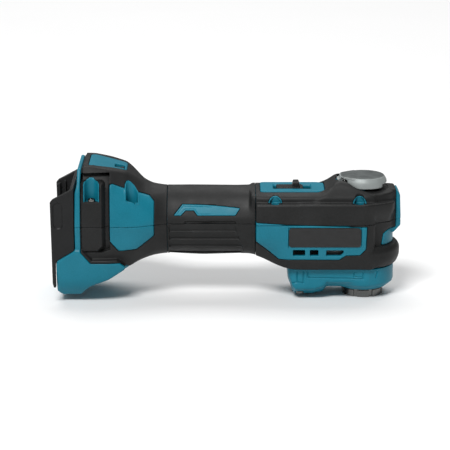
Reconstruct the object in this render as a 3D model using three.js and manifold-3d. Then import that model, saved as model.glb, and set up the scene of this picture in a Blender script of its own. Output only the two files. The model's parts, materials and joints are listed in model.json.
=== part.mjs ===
// A cordless oscillating multi-tool without its battery, built up from its separate pieces.
// Millimetres. +X points to the nose, +Z up, and the origin lies under the middle of the tool,
// on the surface that the tool holder stands on.
import * as THREE from "three";
import { mergeVertices } from "three/addons/utils/BufferGeometryUtils.js";
import Module from "manifold-3d";

const wasm = await Module();
wasm.setup();

// ---- Driving dimensions -------------------------------------------------------------------
const GAP = 0.3; // clearance between pieces that touch
const SPINDLE_X = 116; // vertical axis of the spindle and of the tool holder
const MOTOR_Z = 58; // height of the motor's axis
const CREASE_Z = 67; // height of the housing's widest line
const HALF_WIDTH = 40; // of the whole tool, at the battery rails
const REAR_X = -127; // back face of the housing
const RAIL_X = -147.3; // back face of the battery rails
const NOSE_X = 147.3;
const SKIN = 1.5; // thickness of the soft grip layer
const WALL = 2.6; // thickness of the hard shell under it
const LEVER_PIVOT = { x: 99.5, z: 99.5 };
const LEVER_R = 19.5;
const HOLDER_R = 17.6;
const DIAL = { x: -90, y: -5.6, z: 102, r: 8.8, width: 7 };
const COLOURS = {
  teal: [0x0a7d95, 0.45, 0],
  soft_black: [0x2c2e2e, 0.75, 0],
  hard_black: [0x1b1c1c, 0.5, 0],
  silver: [0xb4b8b8, 0.35, 0.9],
  steel: [0x8c8e8e, 0.25, 1],
  aluminium: [0x9da0a0, 0.45, 0.9],
  copper: [0xb06a3a, 0.35, 1],
  brass: [0xc2a25a, 0.35, 1],
  board: [0x1f5a38, 0.6, 0],
  rubber: [0x151515, 0.85, 0],
  clear: [0xe8ecec, 0.1, 0],
  label: [0x202222, 0.5, 0],
  red: [0xa02020, 0.6, 0],
  white: [0xd8d8d4, 0.6, 0],
};

// ---- Solids -------------------------------------------------------------------------------
function solid(geometry) {
  const bare = new THREE.BufferGeometry();
  bare.setAttribute("position", geometry.getAttribute("position"));
  bare.setIndex(geometry.getIndex());
  const merged = mergeVertices(bare, 1e-4);
  return new wasm.Manifold(
    new wasm.Mesh({
      numProp: 3,
      vertProperties: merged.attributes.position.array,
      triVerts: new Uint32Array(merged.index.array),
    }),
  );
}

function extruded(outline, length, holes = []) {
  const path = (points) => points.map(([a, b]) => new THREE.Vector2(a, b));
  const shape = new THREE.Shape(path(outline));
  shape.holes = holes.map((points) => new THREE.Path(path(points)));
  return new THREE.ExtrudeGeometry(shape, { depth: length, bevelEnabled: false });
}

// Outlines in the XY, XZ and YZ planes, extruded between two stations on the third axis.
const slabZ = (outline, z0, z1) => solid(extruded(outline, z1 - z0).translate(0, 0, z0));
const slabY = (outline, y0, y1) =>
  solid(extruded(outline, y1 - y0).rotateX(Math.PI / 2).translate(0, y1, 0));
const slabX = (outline, x0, x1) => {
  const toYZ = new THREE.Matrix4().set(0, 0, 1, x0, 1, 0, 0, 0, 0, 1, 0, 0, 0, 0, 0, 1);
  return solid(extruded(outline, x1 - x0).applyMatrix4(toYZ));
};
const box = ([x0, x1], [y0, y1], [z0, z1]) => {
  const geometry = new THREE.BoxGeometry(x1 - x0, y1 - y0, z1 - z0);
  return solid(geometry.translate((x0 + x1) / 2, (y0 + y1) / 2, (z0 + z1) / 2));
};

// A solid turned about Z from [radius, z] points, and rods along each axis.
const turned = (profile, sides = 20) => solid(
  new THREE.LatheGeometry(profile.map(([r, z]) => new THREE.Vector2(r, z)), sides).rotateX(Math.PI / 2),
);
const rod = (r, z0, z1, sides = 16) => turned([[0, z0], [r, z0], [r, z1], [0, z1]], sides);
const tube = (r, bore, z0, z1, sides = 16) =>
  turned([[bore, z0], [r, z0], [r, z1], [bore, z1], [bore, z0]], sides);
const alongX = (s) => s.rotate([0, 90, 0]); // local +Z becomes +X
const alongY = (s) => s.rotate([-90, 0, 0]); // local +Z becomes +Y
const mirrorY = (points) => [...points, ...points.map(([a, b]) => [a, -b]).reverse()];
const ring = (count, r, phase = 0) =>
  Array.from({ length: count }, (_, i) => {
    const a = phase + (2 * Math.PI * i) / count;
    return [r * Math.cos(a), r * Math.sin(a)];
  });

function signedArea(points) {
  return points.reduce((sum, [a, b], i) => {
    const [c, d] = points[(i + 1) % points.length];
    return sum + (a * d - b * c) / 2;
  }, 0);
}

// The outline moved inwards by t, edge by edge.
function inset(outline, t) {
  const points = signedArea(outline) > 0 ? outline : [...outline].reverse();
  const n = points.length;
  const edges = points.map(([a, b], i) => {
    const [c, d] = points[(i + 1) % n];
    const length = Math.hypot(c - a, d - b);
    const normal = [-(d - b) / length, (c - a) / length];
    return { normal, offset: normal[0] * a + normal[1] * b + t };
  });
  return points.map((_, i) => {
    const p = edges[(i + n - 1) % n];
    const q = edges[i];
    const det = p.normal[0] * q.normal[1] - p.normal[1] * q.normal[0];
    if (Math.abs(det) < 1e-6) return [q.normal[0] * q.offset, q.normal[1] * q.offset];
    return [
      (p.offset * q.normal[1] - q.offset * p.normal[1]) / det,
      (p.normal[0] * q.offset - q.normal[0] * p.offset) / det,
    ];
  });
}

// A closed skin over cross-sections that all have the same number of points.
function loft(sections) {
  const n = sections[0].points.length;
  const positions = sections.flatMap(({ x, points }) => points.flatMap(([y, z]) => [x, y, z]));
  const index = [];
  for (let s = 0; s + 1 < sections.length; s++)
    for (let i = 0; i < n; i++) {
      const [a, b] = [s * n + i, s * n + ((i + 1) % n)];
      index.push(a, b, a + n, b, b + n, a + n);
    }
  const last = (sections.length - 1) * n;
  for (let i = 1; i + 1 < n; i++) {
    index.push(0, i + 1, i);
    index.push(last, last + i, last + i + 1);
  }
  const geometry = new THREE.BufferGeometry();
  geometry.setAttribute("position", new THREE.Float32BufferAttribute(positions, 3));
  geometry.setIndex(index);
  return solid(geometry);
}

const join = (...solids) => solids.reduce((a, b) => a.add(b));
const cut = (base, ...tools) => tools.reduce((a, b) => a.subtract(b), base);
const spread = (count, make) => Array.from({ length: count }, (_, i) => make(i));

// ---- The scene graph ----------------------------------------------------------------------
const tool = new THREE.Group();
const at = (x, y, z, parent = tool) => {
  const group = new THREE.Group();
  group.position.set(x, y, z);
  parent.add(group);
  return group;
};

function piece(name, body, colour, parent = tool) {
  const made = body.getMesh();
  const geometry = new THREE.BufferGeometry();
  const positions = new Float32Array(made.numVert * 3);
  for (let i = 0; i < made.numVert; i++)
    positions.set(made.vertProperties.subarray(i * made.numProp, i * made.numProp + 3), i * 3);
  geometry.setAttribute("position", new THREE.BufferAttribute(positions, 3));
  geometry.setIndex(new THREE.BufferAttribute(made.triVerts, 1));
  const [color, roughness, metalness] = COLOURS[colour];
  const material = new THREE.MeshStandardMaterial({ color, roughness, metalness, flatShading: true });
  const mesh = new THREE.Mesh(geometry, material);
  mesh.name = name;
  parent.add(mesh);
}

// ---- Outer form of the housing, at any depth under its surface ------------------------------
// Each station: x, top height, top half-width, shoulder [y, z], widest [y, z], lower shoulder
// [y, z], bottom half-width, bottom height.
const STATIONS = [
  [-127, 101, 27, [37, 95], [39.6, 67], [39, 46], 34, 40],
  [-120, 116.5, 23, [38, 103], [39.6, 67], [39, 44], 33, 30],
  [-111, 116.2, 23, [38, 102.5], [39.6, 67], [39, 43], 32, 22],
  [-98, 113.4, 21, [37.5, 101], [39.6, 67], [38.5, 45], 29, 22],
  [-84, 110.8, 15, [36, 96], [38.6, 67], [37.5, 46.5], 26, 28.5],
  [-76, 104, 14, [34.5, 92], [37.6, 67], [36.5, 48], 24, 33],
  [-68, 98.2, 13, [32, 88], [36, 67], [34, 50], 21, 35.5],
  [-61, 95.4, 12, [27.5, 85], [32, 66], [29, 50], 18, 36.2],
  [-54, 94.5, 11, [24, 83], [27.4, 65.5], [25, 49], 16, 36.2],
  [-48, 94.3, 11, [22.5, 82.5], [26, 65.3], [23.5, 48.5], 15, 36.2],
  [0, 93.8, 11, [22.5, 82], [26, 65.3], [23.5, 48.5], 15, 35.6],
  [14, 94, 12, [23, 82], [27, 65.3], [24.5, 47], 16, 36.5],
  [26, 92.5, 14, [24, 86], [28, 66], [26, 46], 19, 38],
];
const backBody = (t) =>
  loft(
    STATIONS.map(([x, top, y1, [y2, z2], [y3, z3], [y4, z4], y5, bottom], i) => {
      const half = [[y1, top], [y2, z2], [y3, z3], [y4, z4], [y5, bottom]];
      const points = [...half.map(([y, z]) => [-y, z]), ...half.reverse()];
      return { x: i === 0 ? x + t : x, points: inset(points, t) };
    }),
  );

// The battery foot: a side outline and a cross-section, each extruded through the other.
const FOOT_SIDE = [
  [-127, 46], [-141.5, 37.5], [-143, 34], [-143, 9], [-138.5, 4.6], [-123.5, 4.6], [-120.3, 8.5],
  [-115.9, 12.8], [-99.4, 19.3], [-86, 28], [-84, 40], [-110, 52],
];
const FOOT_SECTION = [
  [-26, 4.6], [-34, 10], [-38, 18], [-39.6, 30], [-39.6, 60], [39.6, 60], [39.6, 30], [38, 18],
  [34, 10], [26, 4.6],
];
const foot = (t) =>
  slabY(inset(FOOT_SIDE, t), -HALF_WIDTH, HALF_WIDTH).intersect(
    slabX(inset(FOOT_SECTION, t), -145, -80),
  );

// The front body: a wide lower box, a narrower upper body on it, the hump behind the lever, and
// the round neck and bumper about the spindle.
const LOWER_PLAN = mirrorY([[20, 26], [24.5, 33], [118, 33], [140, 20.5], [NOSE_X, 11]]);
const LOWER_SIDE = [
  [20, 40], [48.5, 27.5], [120, 27.5], [120, 55.5], [141.4, 55.5], [NOSE_X, 62], [NOSE_X, 81],
  [143.5, 85], [20, 85],
];
const UPPER_PLAN = mirrorY([[20, 23], [26, 25.5], [118, 25.5], [134, 20], [143, 11], [145.5, 8]]);
const UPPER_SIDE = [
  [20, 60], [20, 90.5], [26, 92.6], [136, 92.6], [142, 91.8], [146, 87], [146, 60],
];
const UPPER_SECTION = [[-25.5, 60], [25.5, 60], [25.5, 87], [17, 92.6], [-17, 92.6], [-25.5, 87]];
const HUMP_SIDE = [[80, 86], [84, 92.5], [93.5, 101], [99, 101], [112, 96.5], [122, 90], [122, 86]];
const HUMP_SECTION = [[-25.5, 86], [25.5, 86], [21.5, 96], [16, 101], [-16, 101], [-21.5, 96]];
const bumper = (t) => [
  [0, 27.5 + t], [27 - t, 27.5 + t], [31.3 - t, 34], [31.3 - t, 42.8], [28 - t, 46.8 - t], [0, 46.8 - t],
];
const NECK_R = 25.6;
const aboutSpindle = (s) => s.translate([SPINDLE_X, 0, 0]);
const frontBody = (t) =>
  join(
    slabZ(inset(LOWER_PLAN, t), 20, 90).intersect(
      slabY(inset(LOWER_SIDE, t), -HALF_WIDTH, HALF_WIDTH),
    ),
    slabZ(inset(UPPER_PLAN, t), 50, 95)
      .intersect(slabY(inset(UPPER_SIDE, t), -HALF_WIDTH, HALF_WIDTH))
      .intersect(slabX(inset(UPPER_SECTION, t), 10, 150)),
    slabY(inset(HUMP_SIDE, t), -HALF_WIDTH, HALF_WIDTH).intersect(
      slabX(inset(HUMP_SECTION, t), 75, 125),
    ),
    aboutSpindle(turned(bumper(t), 28)),
    aboutSpindle(rod(NECK_R - t, 40, 60, 28)),
  );
const outer = (t) => join(backBody(t), foot(t), frontBody(t));

// ---- Colour regions of the shell, as outlines on the side of the tool -----------------------
const REAR_PANEL = [
  [-97.6, 102.4], [-95.4, 102.6], [-64.8, 90.4], [-61.2, 86], [-61.2, 57.8], [-76.3, 46.8],
  [-90.1, 46.2], [-97.6, 54.6],
];
const FOOT_REGION = [
  [-150, 120], [-127, 120], [-122, 117.5], [-119.4, 120], [-119.4, 116], [-122.2, 104], [-122.2, 45],
  [-114.2, 35.2], [-90.2, 35.2], [-85.2, 31], [-80, 20], [-100, 0], [-150, 0],
];
const LABEL_PANEL = [
  [18, 69.2], [23.6, 69.2], [50.7, 67.4], [117.5, 65.2], [116.8, 46], [111.6, 41.1], [100.1, 40.9],
  [94.4, 37], [43.7, 37.2], [23.6, 54],
];
const NOSE_WINDOW = [[129.5, 46.9], [131.6, 57.8], [136, 59.5], [150, 63], [150, 46.9]];
const side = (outline, y0 = 15) =>
  join(slabY(outline, -60, -y0), slabY(outline, y0, 60));
const through = (outline) => slabY(outline, -60, 60);
const noseStrip = (grow) => box([142.6 - grow, 160], [-10 - grow, 10 + grow], [50, 100]);
const hardRegions = (grow) =>
  join(
    side(inset(REAR_PANEL, -grow)),
    through(inset(FOOT_REGION, -grow)),
    side(inset(LABEL_PANEL, -grow)),
    through(inset(NOSE_WINDOW, -grow)),
    noseStrip(grow),
  );

// ---- Openings in the shell ------------------------------------------------------------------
const SWITCH_PLATE = mirrorY([[28.2, 15], [30, 16.5], [77.5, 16.5], [82.5, 13.5]]);
const DIAL_PLATE = mirrorY([[-115.6, 18.5], [-112, 20.5], [-84, 12]]);
// Screw channels in the upper shell, the same on both sides: centre, radius, the plane where the
// channel's outer side is flat, its floor, the radius of the boss under it, and the screw's tip.
const CHANNELS = [
  { place: "rear", x: -112.8, y: 33.3, r: 5.5, flat: 60, floor: 88.2, boss: 7.2, tip: 62 },
  { place: "shoulder", x: -79.1, y: 28.6, r: 4.9, flat: 33.8, floor: 78, boss: 6.6, tip: 52 },
  { place: "middle", x: 40.6, y: 27, r: 4.8, flat: 30.4, floor: 79.5, boss: 3.8, tip: 54 },
  { place: "front", x: 111.2, y: 27, r: 4.8, flat: 30.4, floor: 79.5, boss: 3.8, tip: 54 },
];
const bothSides = (make) => join(make(-1), make(1));
const channel = ({ x, y, r, flat, floor }, sign, grow = 0) =>
  join(
    rod(r + grow, floor, 130, 12).translate([x, sign * y, 0]),
    box(
      [x - r - grow, x + r + grow],
      sign < 0 ? [-flat - grow, -y] : [y, flat + grow],
      [floor, 130],
    ),
  );
const boss = ({ x, y, boss: r, floor }, sign) =>
  rod(r, 20, floor + 1, 8).translate([x, sign * y, 0]);
const screwHole = ({ x, y }, sign) => rod(2.2, 45, 95, 6).translate([x, sign * y, 0]);
const forChannels = (make) => join(...CHANNELS.map((c) => bothSides((sign) => make(c, sign))));

const VENTS = [
  [[55.6, 40.6], [65.8, 40.6], [65.8, 45.7], [55.6, 45.7]],
  [[69.8, 40.6], [76.9, 40.6], [76.9, 45.7], [69.8, 45.7]],
  [[83.5, 40.6], [95.7, 40.6], [98, 43.2], [98.2, 45.5], [83.5, 45.5]],
];
const LABEL = { x: [52, 112.7], z: [48.4, 64.9] };
const grown = ([a, b], t) => [a - t, b + t];
const aboutHinge = (s) => s.translate([LEVER_PIVOT.x, 0, LEVER_PIVOT.z]);
const openings = (grow) =>
  join(
    forChannels((c, sign) => channel(c, sign, grow)),
    ...VENTS.map(through),
    aboutSpindle(rod(LEVER_R + 0.7, 93.4, 120, 32)),
    aboutHinge(alongY(rod(5.9, -16, 16, 12))), // the lever's tail
    aboutHinge(alongY(rod(6.8, -5.4, 5.4, 12))), // its cam
    box([95.4, 122.6], [-6.4, 6.4], [84, 98]), // the release plate
    bothSides((sign) => box([96.3, 102.8], grown([sign * 8.3, sign * 8.3], 2), [80, 98])),
    slabZ(inset(SWITCH_PLATE, -GAP), 89.4, 110),
    slabZ(inset(DIAL_PLATE, -GAP), 100, 130).subtract(backBody(3.4)),
    box([-130, -120], [-17.5, 17.5], [47.5, 82.5]), // the terminal block
    box([37, 76], [-9.6, 9.6], [84, 92]), // the switch slider
    box([DIAL.x - 4.6, DIAL.x + 4.6], [DIAL.y - 9.4, DIAL.y + 9.4], [92, 108]),
    box([DIAL.x - 4.6, DIAL.x + 4.6], [DIAL.y - 7, DIAL.y + 7], [92, 125]),
    aboutSpindle(rod(21.8, 20, 32, 20)),
    box(grown(LABEL.x, GAP), [-34, -32.2], grown(LABEL.z, GAP)),
  );

const cavity = cut(
  join(
    backBody(SKIN + WALL).intersect(box([-123, 40], [-60, 60], [0, 130])),
    foot(SKIN + WALL + 1).intersect(box([-139, -80], [-60, 60], [8, 60])),
    slabZ(mirrorY([[24, 24], [28, 29], [112, 29], [112, 15]]), 31.5, 81).intersect(
      slabY([[24, 45], [50, 31.5], [112, 31.5], [112, 81], [24, 81]], -40, 40),
    ),
    slabX([[-21, 75], [21, 75], [21, 84.5], [15, 88.6], [-15, 88.6], [-21, 84.5]], 22, 112),
    aboutSpindle(rod(27.2, 31, 43, 20)),
    aboutSpindle(rod(21.8, 26, 88.6, 20)),
    slabZ(mirrorY([[110, 22], [118, 27], [136, 17], [143, 8]]), 60, 80),
  ),
  forChannels(boss),
  forChannels((c, sign) => channel(c, sign, 1.8).translate([0, 0, -1.8])),
);

// ---- Housing shells and soft grip layers ------------------------------------------------------
const body = outer(0);
const core = join(outer(SKIN + GAP), body.intersect(hardRegions(-GAP / 2)));
const shell = cut(core, cavity, openings(0), forChannels(screwHole));
const COVER_SCREW = { x: 62, y: 17 };
const coverScrewHoles = bothSides((sign) =>
  rod(2.2, 20, 40, 6).translate([COVER_SCREW.x, sign * COVER_SCREW.y, 0]),
);
const below = box([-200, 200], [-100, 100], [-10, CREASE_Z - GAP / 2]);
const above = box([-200, 200], [-100, 100], [CREASE_Z + GAP / 2, 200]);
piece("housing_upper", shell.intersect(above), "teal");
piece("housing_lower", shell.intersect(below).subtract(coverScrewHoles), "teal");

const ACCENT = [
  [-44.5, 73.8], [-37.2, 82.3], [-18.5, 81.8], [-10, 81.3], [11.1, 79.4], [7.1, 73.8],
  [-24.5, 73.8], [-27.6, 77.7], [-34.6, 77.7], [-38.6, 73.8],
];
const layer = body.subtract(outer(SKIN));
const skin = cut(
  layer,
  hardRegions(GAP / 2),
  openings(1),
  coverScrewHoles,
  side(inset(ACCENT, -GAP)),
  slabZ(inset(SWITCH_PLATE, -GAP), 84, 110),
  slabZ(inset(DIAL_PLATE, -GAP), 100, 130),
);
const SKIN_SPANS = { rear: [-160, -50.5], grip: [-49.9, 24], front: [24.6, 160] };
const biggest = (s) => s.decompose().reduce((a, b) => (a.volume() > b.volume() ? a : b));
for (const [region, span] of Object.entries(SKIN_SPANS))
  for (const [word, half] of [["upper", above], ["lower", below]]) {
    const part = skin.intersect(half).intersect(box(span, [-60, 60], [0, 130]));
    piece(`${region}_overmold_${word}`, biggest(part), "soft_black");
  }
const sides = { right: -1, left: 1 };
const accentLayer = layer.intersect(side(ACCENT));
for (const [word, sign] of Object.entries(sides)) {
  const half = box([-60, 20], sign < 0 ? [-60, 0] : [0, 60], [60, 90]);
  piece(`accent_${word}`, biggest(accentLayer.intersect(half)), "teal");
}

// ---- Pieces let into the outside of the housing ------------------------------------------------
const SLOT = { x: [39.6, 71], y: [-7, 7] };
piece(
  "switch_plate",
  slabZ(SWITCH_PLATE, 89.7, 92.9).subtract(box(SLOT.x, SLOT.y, [80, 100])),
  "teal",
);
piece(
  "dial_plate",
  cut(
    slabZ(DIAL_PLATE, 100, 130).intersect(body),
    backBody(3.1),
    box([DIAL.x - 4.2, DIAL.x + 4.2], [DIAL.y - 6.4, DIAL.y + 6.4], [92, 125]),
  ),
  "teal",
);
piece("name_plate", box(LABEL.x, [-33.1, -32.5], LABEL.z), "label");

// A screw whose head rests at one height and whose shank ends at another, above or below it.
const SCREW = { headR: 3.2, headHeight: 2.6, shankR: 1.8, socketR: 1.5, socketDepth: 1.4 };
const rodBetween = (r, a, b, sides) => rod(r, Math.min(a, b), Math.max(a, b), sides);
function screw(name, head, tip, x, y) {
  const up = Math.sign(head - tip);
  const top = head + up * SCREW.headHeight;
  const made = join(
    rodBetween(SCREW.headR, head, top, 10),
    rodBetween(SCREW.shankR, head, tip, 6),
  ).subtract(rodBetween(SCREW.socketR, top, top - up * SCREW.socketDepth, 6));
  piece(name, made.translate([x, y, 0]), "steel");
}
for (const { place, x, y, floor, tip } of CHANNELS)
  for (const [word, sign] of Object.entries(sides))
    screw(`${place}_screw_${word}`, floor + GAP, tip, x, sign * y);

// ---- Battery rails and terminals -----------------------------------------------------------------
const RAIL_SIDE = [
  [-127.3, 104], [-128.7, 99.5], [-145.3, 90.6], [RAIL_X, 88.3], [-146.6, 43], [-146.3, 18.6],
  [-145.3, 14.8], [-143.4, 14.8], [-143.4, 34.2], [-142, 38], [-127.6, 46.8],
];
const RAIL = { outer: 38.4, inner: 33.4, base: -131 };
const TERMINAL = { y: 10, slot: [-143, -134], blade: [-141.5, -134.3], half: 0.4 };
const railWalls = slabY(RAIL_SIDE, -RAIL.outer, RAIL.outer).subtract(
  box([-150, RAIL.base], [-RAIL.inner, RAIL.inner], [0, 130]),
);
const railLips = bothSides((sign) =>
  box([RAIL_X + 0.8, RAIL_X + 3.7], grown([sign * 31.6, sign * 31.6], 2.2), [44, 88]),
);
piece(
  "battery_rails",
  join(railWalls, railLips).subtract(box([-135, -120], [-17.5, 17.5], [49.7, 80.3])),
  "hard_black",
);
piece(
  "terminal_block",
  cut(
    join(box([-130.7, -121], [-16, 16], [50, 80]), box([-142, -130.7], [-15, 15], [50, 76])),
    ...[-TERMINAL.y, 0, TERMINAL.y].map((y) => box(TERMINAL.slot, grown([y, y], 2.2), [49, 72])),
  ),
  "hard_black",
);
for (const [name, y] of [["terminal_positive", -TERMINAL.y], ["terminal_negative", TERMINAL.y]])
  piece(name, box(TERMINAL.blade, grown([y, y], TERMINAL.half), [52, 70]), "copper");

// ---- Controller, speed dial, switch and leads ------------------------------------------------------
piece("controller", box([-112, -70], [-21, 21], [50, 63]), "hard_black");
const dial = at(DIAL.x, DIAL.y, DIAL.z);
const ribbed = slabZ(ring(24, DIAL.r), -DIAL.width / 2, DIAL.width / 2);
piece("dial_wheel", alongX(ribbed.subtract(rod(1.9, -9, 9, 12))), "hard_black", dial);
piece(
  "dial_potentiometer",
  join(box([-8.5, -4.2], [-6, 6], [-7, 5.4]), alongX(rod(1.6, -5, 3, 12))),
  "board",
  dial,
);
piece(
  "switch_button",
  join(
    box([41.2, 66], [-9, 9], [85.6, 89.2]),
    box([42, 64.5], [-6.4, 6.4], [88, 93.6]),
    slabY([[54.6, 90], [55.8, 97], [56.6, 97.8], [60.4, 97.8], [61.4, 97], [62.6, 90]], -6, 6),
  ),
  "hard_black",
);
piece("switch_rod", box([17, 60], [-2, 2], [83.4, 85.3]), "hard_black");
piece("micro_switch", box([2, 20], [-8, 8], [70, 83]), "hard_black");
function lead(name, y, colour) {
  const path = new THREE.CatmullRomCurve3([
    new THREE.Vector3(-69.5, y, 55),
    new THREE.Vector3(-55, y, 50),
    new THREE.Vector3(0, y, 48),
    new THREE.Vector3(24, y, 52),
    new THREE.Vector3(35.5, y, 56),
  ]);
  const circle = new THREE.Shape(ring(6, 1.5).map(([a, b]) => new THREE.Vector2(a, b)));
  piece(name, solid(new THREE.ExtrudeGeometry(circle, { steps: 12, extrudePath: path })), colour);
}
lead("lead_positive", -12, "red");
lead("lead_negative", 12, "white");

// ---- Motor -------------------------------------------------------------------------------------
const motor = at(0, 0, MOTOR_Z);
const motorPiece = (name, s, colour) => piece(name, alongX(s), colour, motor);
motorPiece("stator_core", tube(21.5, 12, 43, 65, 24), "steel");
motorPiece("winding_rear", tube(19, 12.6, 37, 42.7), "copper");
motorPiece("winding_front", tube(19, 12.6, 65.3, 70.5), "copper");
motorPiece("rotor_core", tube(11.4, 4.3, 42, 66), "steel");
motorPiece("motor_bearing_rear", tube(9, 4.3, 28, 34.5), "silver");
motorPiece("motor_bearing_front", tube(9.5, 4.3, 83, 89), "silver");
const ECCENTRIC = 0.55;
motorPiece(
  "rotor_shaft",
  join(rod(4, 27.5, 95.5), rod(3, 95.4, 103).translate([0, ECCENTRIC, 0])),
  "steel",
);
const blade = (i) => box([5.4, 19], [-0.6, 0.6], [73, 80.6]).rotate([0, 0, 360 * (i / 11)]);
motorPiece(
  "cooling_fan",
  cut(join(rod(19.5, 72, 73.4, 22), rod(6, 72, 80.6), ...spread(11, blade)), rod(4.3, 70, 90)),
  "hard_black",
);
const heavySide = box([-11, 11], [-11, 0], [91.4, 95.2]).intersect(rod(11, 91.4, 95.2));
motorPiece("balance_weight", join(rod(6.5, 91.4, 95.2), heavySide).subtract(rod(4.3, 80, 100)), "brass");
motorPiece("eccentric_bearing", tube(8, 3.3, 96.2, 102.6).translate([0, ECCENTRIC, 0]), "silver");

// ---- Gear case, spindle and tool holder --------------------------------------------------------
const stand = at(SPINDLE_X, 0, 0);
const hingeAt = [LEVER_PIVOT.x - SPINDLE_X, 0, LEVER_PIVOT.z];
const EAR = { y: 8.3, r: 2.8, half: 1.5, foot: 82 };
const ear = (sign) =>
  join(
    box(
      grown([hingeAt[0], hingeAt[0]], EAR.r),
      grown([sign * EAR.y, sign * EAR.y], EAR.half),
      [EAR.foot, hingeAt[2]],
    ),
    alongY(rod(EAR.r, -EAR.half, EAR.half)).translate([hingeAt[0], sign * EAR.y, hingeAt[2]]),
  );
piece(
  "gear_case",
  cut(
    join(
      rod(20.3, 28, 84, 24),
      rod(15.8, 10.6, 30, 20),
      box([-33.6, 0], [-20, 20], [36, 80]),
      bothSides(ear),
    ),
    rod(16.8, 48, 67),
    box([-25, 0], [-16.8, 16.8], [45, 71]),
    rod(11.3, 0, 50),
    rod(12.8, 60, 73.4),
    rod(8.4, 70, 90),
    alongX(rod(9.8, -40, -26.7)).translate([0, 0, MOTOR_Z]),
    alongX(rod(6.8, -30, -20)).translate([0, 0, MOTOR_Z]),
    alongY(rod(2.3, -20, 20, 16)).translate(hingeAt),
  ),
  "aluminium",
  stand,
);
const COVER_SIDE = [
  [51.2, 27.2], [51.2, 18], [54, 11], [55.6, 5.4], [58.6, 3], [73.3, 3], [82.1, 5.6],
  [84.9, 9.2], [96, 8.8], [100, 6.4], [120, 6.4], [120, 27.2],
];
const COVER_HALF = 26.3;
const hollowSide = inset(COVER_SIDE, WALL).map(([x, z]) => [x, z > 20 ? 30 : z]);
const lensFace = { from: [82.3, 5.9], to: [84.6, 8.9], out: [0.79, -0.61] };
const alongLens = (out) => [lensFace.from, lensFace.to].map(([x, z]) => [
  x + out * lensFace.out[0], z + out * lensFace.out[1],
]);
const lensOutline = (front, back) => [...alongLens(front), ...alongLens(back).reverse()];
piece(
  "gear_cover",
  cut(
    join(
      slabY(COVER_SIDE, -COVER_HALF, COVER_HALF),
      aboutSpindle(turned([[0, 6.8], [19.2, 6.8], [26.3, 12.5], [26.3, 27.2], [0, 27.2]], 28)),
    ),
    slabY(hollowSide, -COVER_HALF + WALL, COVER_HALF - WALL).intersect(box([50, 96], [-30, 30], [0, 30])),
    aboutSpindle(rod(16.2, 10.2, 30, 20)),
    aboutSpindle(rod(18.2, 0, 9.1, 24)),
    aboutSpindle(rod(13, 5, 12)),
    slabY(lensOutline(2, -6), -7.3, 7.3),
    bothSides((sign) => rod(4, 0, 6.4, 10).translate([COVER_SCREW.x, sign * COVER_SCREW.y, 0])),
    coverScrewHoles.translate([0, 0, -18]),
  ),
  "teal",
);
piece("led_lens", slabY(lensOutline(0.2, -2.4), -7, 7), "clear");
for (const [word, sign] of Object.entries(sides))
  screw(`cover_screw_${word}`, 6.2, 34, COVER_SCREW.x, sign * COVER_SCREW.y);

piece("dust_seal", tube(10.9, 8.3, 10.9, 12.2), "rubber", stand);
piece("retaining_ring", tube(11, 9.2, 12.5, 13.7), "steel", stand);
piece("spindle_bearing_lower", tube(11, 8.2, 14, 22), "silver", stand);
piece("spindle_bearing_upper", tube(12.5, 8.2, 67.6, 73.1), "silver", stand);
piece("spindle", tube(7.9, 4.6, 9, 74), "steel", stand);
const prong = (sign) => box([-20, -6], grown([sign * 11.05, sign * 11.05], 1.65), [53, 63]);
piece(
  "swing_arm",
  join(rod(11.4, 52, 64), bothSides(prong), box([-11.5, -6], [-12, 12], [53, 63])).subtract(
    rod(8.2, 40, 70),
  ),
  "steel",
  stand,
);
const STAR = spread(24, (i) => {
  const [[x, y]] = ring(1, i % 2 ? 9.6 : 8, (Math.PI * i) / 12);
  return [x, y];
});
const notch = (i) => box([HOLDER_R - 1.2, HOLDER_R + 1], [-1.6, 1.6], [-1, 10]).rotate([0, 0, 22.5 + 45 * i]);
piece(
  "tool_holder",
  cut(
    turned([[0, 0], [16.8, 0], [HOLDER_R, 0.8], [HOLDER_R, 7.6], [16.6, 8.7], [0, 8.7]], 24),
    slabZ(STAR, -1, 7),
    rod(4.7, -1, 10),
    ...spread(8, notch),
  ),
  "steel",
  stand,
);
piece("clamp_shaft", join(rod(5, 4.4, 6.7), rod(4.2, 6.5, 86.2), rod(6.5, 81.5, 83.5)), "steel", stand);
function coil(radius, wire, z0, z1, turns) {
  class Helix extends THREE.Curve {
    getPoint(t, target = new THREE.Vector3()) {
      const a = 2 * Math.PI * turns * t;
      return target.set(radius * Math.cos(a), radius * Math.sin(a), z0 + (z1 - z0) * t);
    }
  }
  const circle = new THREE.Shape(ring(5, wire).map(([a, b]) => new THREE.Vector2(a, b)));
  return solid(new THREE.ExtrudeGeometry(circle, { steps: 12 * turns, extrudePath: new Helix() }));
}
piece("clamp_spring", coil(6, 0.6, 75, 79.1, 3), "steel", stand);

// ---- Clamp lever --------------------------------------------------------------------------------
// The cam under the lever grows evenly as it turns, so it drives the flat plate evenly.
const CAM = { low: 4.7, rise: 1.5, turn: (88 * Math.PI) / 180 };
const camPoint = (a) => {
  const rate = CAM.rise / CAM.turn;
  const h = CAM.low + rate * a;
  return [-h * Math.sin(a) - rate * Math.cos(a), -h * Math.cos(a) + rate * Math.sin(a)];
};
const camOutline = [[8, 0], [2, -CAM.low], ...spread(7, (i) => camPoint((CAM.turn * i) / 6)), [0, 3]];
const lever = at(LEVER_PIVOT.x, 0, LEVER_PIVOT.z);
const discAt = [SPINDLE_X - LEVER_PIVOT.x, 0, -LEVER_PIVOT.z];
const disc = cut(
  turned([[0, 94.8], [18.7, 94.8], [LEVER_R, 95.6], [LEVER_R, 99.4], [16.8, 103.5], [0, 103.5]], 32),
  rod(16.4, 94, 101.4, 20),
  box([14, 30], [-30, 30], [90, 98.2]),
).translate(discAt);
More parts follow.
